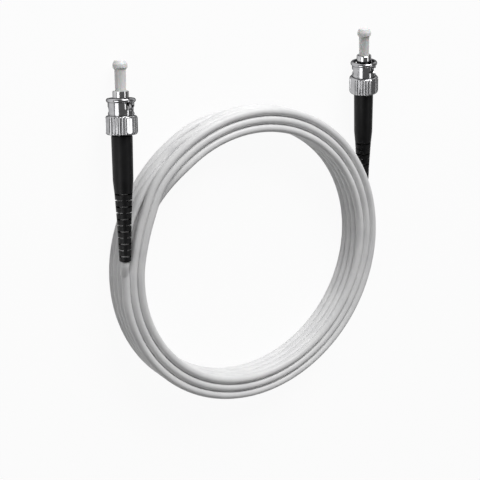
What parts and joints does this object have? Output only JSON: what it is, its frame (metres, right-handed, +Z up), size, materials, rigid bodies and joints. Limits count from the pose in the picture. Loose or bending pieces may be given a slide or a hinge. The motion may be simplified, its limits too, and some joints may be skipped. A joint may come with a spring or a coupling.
{
  "type": "fibre optic patch cord",
  "caption": "Coiled fibre optic patch cord; each end is a bayonet connector with a sprung coupling nut, a slotted strain relief boot and a dust cap.",
  "frame": {"origin": "on the ground, under the middle of the two connectors' box", "axes": "+Y the way the connectors point, away from the coil; +Z up from the ground; +X from the first connector to the second"},
  "size_m": [0.1028, 0.1213, 0.0124],
  "materials": {
    "cap_plastic": "soft white moulded plastic",
    "ceramic": "polished zirconia ceramic",
    "nickel_bright": "turned brass, nickel plated",
    "nickel_dark": "turned brass, dark nickel plated",
    "spring_steel": "bright spring steel",
    "crimp_brass": "thin drawn brass",
    "aramid": "yellow aramid yarn",
    "fibre_buffer": "tight buffer on glass fibre",
    "cable_jacket": "satin white cable jacket",
    "boot_rubber": "black moulded elastomer"
  },
  "bodies": {
    "root": {"ferrule_a": "ceramic", "key_barrel_a": "nickel_bright", "coupling_spring_a": "spring_steel", "retaining_clip_a": "spring_steel", "crimp_sleeve_a": "crimp_brass", "aramid_yarn_a": "aramid", "buffered_fibre_a": "fibre_buffer", "jacket_end_a": "cable_jacket", "boot_a": "boot_rubber", "ferrule_b": "ceramic", "key_barrel_b": "nickel_bright", "coupling_spring_b": "spring_steel", "retaining_clip_b": "spring_steel", "crimp_sleeve_b": "crimp_brass", "aramid_yarn_b": "aramid", "buffered_fibre_b": "fibre_buffer", "jacket_end_b": "cable_jacket", "boot_b": "boot_rubber", "cable_coil": "cable_jacket", "cable_lead_a": "cable_jacket", "cable_lead_b": "cable_jacket"},
    "cap_a": {"dust_cap_a": "cap_plastic"},
    "washer_a": {"spring_washer_a": "spring_steel"},
    "nut_a": {"bayonet_nut_a": "nickel_dark"},
    "cap_b": {"dust_cap_b": "cap_plastic"},
    "washer_b": {"spring_washer_b": "spring_steel"},
    "nut_b": {"bayonet_nut_b": "nickel_dark"}
  },
  "joints": [
    {"name": "cap_a_pull", "type": "slide", "parent": "root", "child": "cap_a", "axis": [0.0675, 0.9898, -0.1251], "range_m": [0, 0.012]},
    {"name": "nut_a_push", "type": "slide", "parent": "root", "child": "washer_a", "axis": [0.0675, 0.9898, -0.1251], "range_m": [0, 0.0016], "stiffness_N_per_m": 2000, "deforming": ["coupling_spring_a"]},
    {"name": "nut_a_turn", "type": "hinge", "parent": "washer_a", "child": "nut_a", "pos_m": [-0.04657, 0.00685, 0.00573], "axis": [0.0675, 0.9898, -0.1251], "continuous": true},
    {"name": "cap_b_pull", "type": "slide", "parent": "root", "child": "cap_b", "axis": [-0.0869, 0.9933, 0.0756], "range_m": [0, 0.012]},
    {"name": "nut_b_push", "type": "slide", "parent": "root", "child": "washer_b", "axis": [-0.0869, 0.9933, 0.0756], "range_m": [0, 0.0016], "stiffness_N_per_m": 2000, "deforming": ["coupling_spring_b"]},
    {"name": "nut_b_turn", "type": "hinge", "parent": "washer_b", "child": "nut_b", "pos_m": [0.04622, 0.00969, 0.00482], "axis": [-0.0869, 0.9933, 0.0756], "continuous": true}
  ]
}
